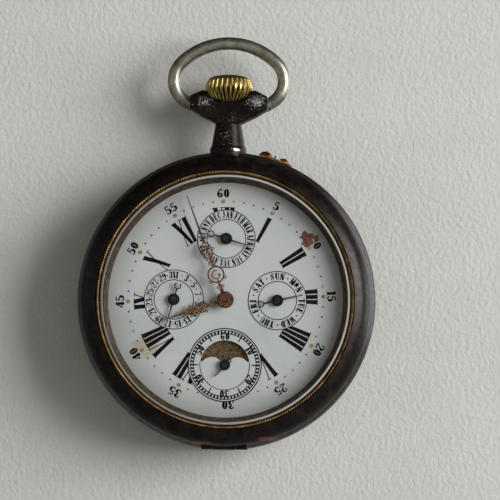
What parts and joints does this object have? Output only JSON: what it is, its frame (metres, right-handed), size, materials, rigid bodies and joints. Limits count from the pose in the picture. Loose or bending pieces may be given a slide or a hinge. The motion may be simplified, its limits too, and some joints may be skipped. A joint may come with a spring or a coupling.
{
  "type": "calendar pocket watch",
  "caption": "Open-face pocket watch with calendar and moon phase, hung upright by its bow, with hinged bezel and back and a geared lever movement",
  "frame": {"origin": "centre of the flat on the back cover, behind the middle of the dial", "axes": "-Y towards the viewer (the dial faces -Y), +Y out of the back, +Z towards twelve o'clock and the bow, +X towards three o'clock"},
  "size_m": [0.066, 0.02, 0.0916],
  "materials": {
    "gunmetal": "satin",
    "gilt": "satin",
    "watch_glass": "clear",
    "tarnished_brass": "tarnished",
    "nickel_silver": "satin",
    "enamel": "gloss",
    "copper_gilt": "satin",
    "blued_steel": "polished",
    "steel": "polished",
    "gilt_brass": "frosted",
    "ruby": "polished"
  },
  "bodies": {
    "case": {"case_band": "gunmetal", "pendant": "gunmetal", "rehaut_ring": "tarnished_brass", "hinge_pins": "steel", "pin_guard": "gilt", "case_screws": "steel", "dial": "enamel", "mainplate": "gilt_brass", "barrel_bridge": "gilt_brass", "train_bridge": "gilt_brass", "balance_cock": "gilt_brass", "pallet_bridge": "gilt_brass", "bridge_screws": "blued_steel", "jewels": "ruby", "date_jumper": "steel", "day_jumper": "steel", "month_jumper": "steel", "moon_jumper": "steel", "click_spring": "steel", "hairspring": "blued_steel"},
    "bow_ring": {"bow": "nickel_silver"},
    "front": {"bezel": "gunmetal", "bezel_ring": "gilt", "crystal": "watch_glass"},
    "back": {"back_cover": "gunmetal"},
    "dust_cover": {"cuvette": "nickel_silver"},
    "winder": {"crown": "gilt", "winding_stem": "steel", "winding_pinion": "steel"},
    "clutch": {"clutch_wheel": "steel"},
    "winding_wheel": {"crown_wheel": "steel"},
    "barrel_core": {"ratchet_wheel": "steel", "barrel_arbor": "steel"},
    "pusher": {"setting_pin": "steel"},
    "setting": {"setting_lever": "steel"},
    "minutes": {"center_wheel": "gilt_brass", "cannon_pinion": "steel", "minute_hand": "copper_gilt"},
    "hours": {"hour_wheel": "gilt_brass", "hour_hand": "copper_gilt"},
    "motion_wheel": {"minute_wheel": "gilt_brass"},
    "date_drive": {"date_drive_wheel": "gilt_brass"},
    "day_drive": {"day_drive_wheel": "gilt_brass"},
    "spring_barrel": {"barrel": "gilt_brass", "mainspring": "steel"},
    "third": {"third_wheel": "gilt_brass"},
    "seconds": {"fourth_wheel": "gilt_brass", "seconds_hand": "blued_steel"},
    "escapement": {"escape_wheel": "steel"},
    "pallets": {"pallet_fork": "steel"},
    "balance": {"balance_wheel": "gilt"},
    "regulator": {"regulator_index": "steel"},
    "date": {"date_star": "steel", "date_hand": "blued_steel"},
    "day": {"day_star": "steel", "day_hand": "blued_steel"},
    "month": {"month_star": "steel", "month_hand": "blued_steel"},
    "moon": {"moon_disc": "tarnished_brass"}
  },
  "joints": [
    {"name": "bow_swing", "type": "hinge", "parent": "case", "child": "bow_ring", "pos_m": [0, -0.0079, 0.0437], "axis": [1, 0, 0], "range_deg": [-90, 90]},
    {"name": "bezel_open", "type": "hinge", "parent": "case", "child": "front", "pos_m": [0, -0.012, -0.03225], "axis": [1, 0, 0], "range_deg": [0, 100]},
    {"name": "back_open", "type": "hinge", "parent": "case", "child": "back", "pos_m": [0, -0.0038, -0.03225], "axis": [-1, 0, 0], "range_deg": [0, 105]},
    {"name": "cuvette_open", "type": "hinge", "parent": "case", "child": "dust_cover", "pos_m": [0, -0.00275, -0.02792], "axis": [-1, 0, 0], "range_deg": [0, 89.25]},
    {"name": "crown_turn", "type": "hinge", "parent": "case", "child": "winder", "pos_m": [0, -0.0079, 0.04], "axis": [0, 0, 1], "continuous": true, "deforming": ["click_spring"]},
    {"name": "clutch_slide", "type": "slide", "parent": "winder", "child": "clutch", "axis": [0, 0, -1], "range_m": [0, 0.00216]},
    {"name": "crown_wheel_turn", "type": "hinge", "parent": "case", "child": "winding_wheel", "pos_m": [0, -0.0044, 0.0166], "axis": [0, 1, 0], "continuous": true},
    {"name": "ratchet_turn", "type": "hinge", "parent": "case", "child": "barrel_core", "pos_m": [0.00849, -0.0044, 0.00849], "axis": [0, 1, 0], "continuous": true},
    {"name": "setting_pin_push", "type": "slide", "parent": "case", "child": "pusher", "axis": [-0.319, 0, -0.9478], "range_m": [0, 0.0008], "stiffness_N_per_m": 300},
    {"name": "setting_lever_turn", "type": "hinge", "parent": "case", "child": "setting", "pos_m": [0.0112, -0.0079, 0.0216], "axis": [0, -1, 0], "range_deg": [0, 12.5]},
    {"name": "minute_turn", "type": "hinge", "parent": "case", "child": "minutes", "pos_m": [0, -0.01, 0], "axis": [0, 1, 0], "continuous": true, "deforming": ["mainspring"]},
    {"name": "hour_turn", "type": "hinge", "parent": "case", "child": "hours", "pos_m": [0, -0.012, 0], "axis": [0, 1, 0], "continuous": true},
    {"name": "motion_wheel_turn", "type": "hinge", "parent": "case", "child": "motion_wheel", "pos_m": [0.00321, -0.011, -0.00383], "axis": [0, 1, 0], "continuous": true},
    {"name": "date_drive_turn", "type": "hinge", "parent": "case", "child": "date_drive", "pos_m": [-0.00499, -0.012, 0.00333], "axis": [0, 1, 0], "continuous": true},
    {"name": "day_drive_turn", "type": "hinge", "parent": "case", "child": "day_drive", "pos_m": [0.00499, -0.012, 0.00333], "axis": [0, 1, 0], "continuous": true},
    {"name": "barrel_turn", "type": "hinge", "parent": "case", "child": "spring_barrel", "pos_m": [0.00849, -0.008, 0.00849], "axis": [0, 1, 0], "continuous": true},
    {"name": "third_turn", "type": "hinge", "parent": "case", "child": "third", "pos_m": [-0.00542, -0.007, -0.00828], "axis": [0, 1, 0], "continuous": true},
    {"name": "seconds_turn", "type": "hinge", "parent": "case", "child": "seconds", "pos_m": [0, -0.008, -0.0143], "axis": [0, 1, 0], "continuous": true},
    {"name": "escape_turn", "type": "hinge", "parent": "case", "child": "escapement", "pos_m": [0.0062, -0.007, -0.01656], "axis": [0, 1, 0], "continuous": true},
    {"name": "pallet_rock", "type": "hinge", "parent": "case", "child": "pallets", "pos_m": [0.00758, -0.007, -0.01276], "axis": [0, 1, 0], "range_deg": [-5, 5]},
    {"name": "balance_swing", "type": "hinge", "parent": "case", "child": "balance", "pos_m": [0.01118, -0.0052, -0.00847], "axis": [0, 1, 0], "range_deg": [-270, 270], "stiffness_Nm_per_rad": 0.000007, "deforming": ["hairspring"]},
    {"name": "regulator_turn", "type": "hinge", "parent": "case", "child": "regulator", "pos_m": [0.01118, -0.0026, -0.00847], "axis": [0, 1, 0], "range_deg": [-15, 15]},
    {"name": "date_turn", "type": "hinge", "parent": "case", "child": "date", "pos_m": [-0.0114, -0.012, 0], "axis": [0, 1, 0], "continuous": true, "deforming": ["date_jumper"]},
    {"name": "day_turn", "type": "hinge", "parent": "case", "child": "day", "pos_m": [0.0114, -0.012, 0], "axis": [0, 1, 0], "continuous": true, "deforming": ["day_jumper"]},
    {"name": "month_turn", "type": "hinge", "parent": "case", "child": "month", "pos_m": [0, -0.012, 0.0135], "axis": [0, 1, 0], "continuous": true, "deforming": ["month_jumper"]},
    {"name": "moon_turn", "type": "hinge", "parent": "case", "child": "moon", "pos_m": [0, -0.0125, -0.0143], "axis": [0, 1, 0], "continuous": true, "deforming": ["moon_jumper"]}
  ],
  "couplings": [
    {"joint": "cuvette_open", "follows": "back_open", "ratio": 0.85},
    {"joint": "crown_wheel_turn", "follows": "crown_turn", "ratio": 0.66667},
    {"joint": "ratchet_turn", "follows": "crown_turn", "ratio": -0.41667},
    {"joint": "clutch_slide", "follows": "setting_pin_push", "ratio": 2.7},
    {"joint": "setting_lever_turn", "follows": "setting_pin_push", "rad_per_m": 268.75},
    {"joint": "hour_turn", "follows": "minute_turn", "ratio": 0.083333},
    {"joint": "motion_wheel_turn", "follows": "minute_turn", "ratio": -0.33333},
    {"joint": "date_drive_turn", "follows": "minute_turn", "ratio": -0.041667},
    {"joint": "day_drive_turn", "follows": "minute_turn", "ratio": -0.041667},
    {"joint": "barrel_turn", "follows": "minute_turn", "ratio": -0.14286},
    {"joint": "third_turn", "follows": "minute_turn", "ratio": -8},
    {"joint": "seconds_turn", "follows": "minute_turn", "ratio": 60},
    {"joint": "escape_turn", "follows": "minute_turn", "ratio": -600}
  ]
}
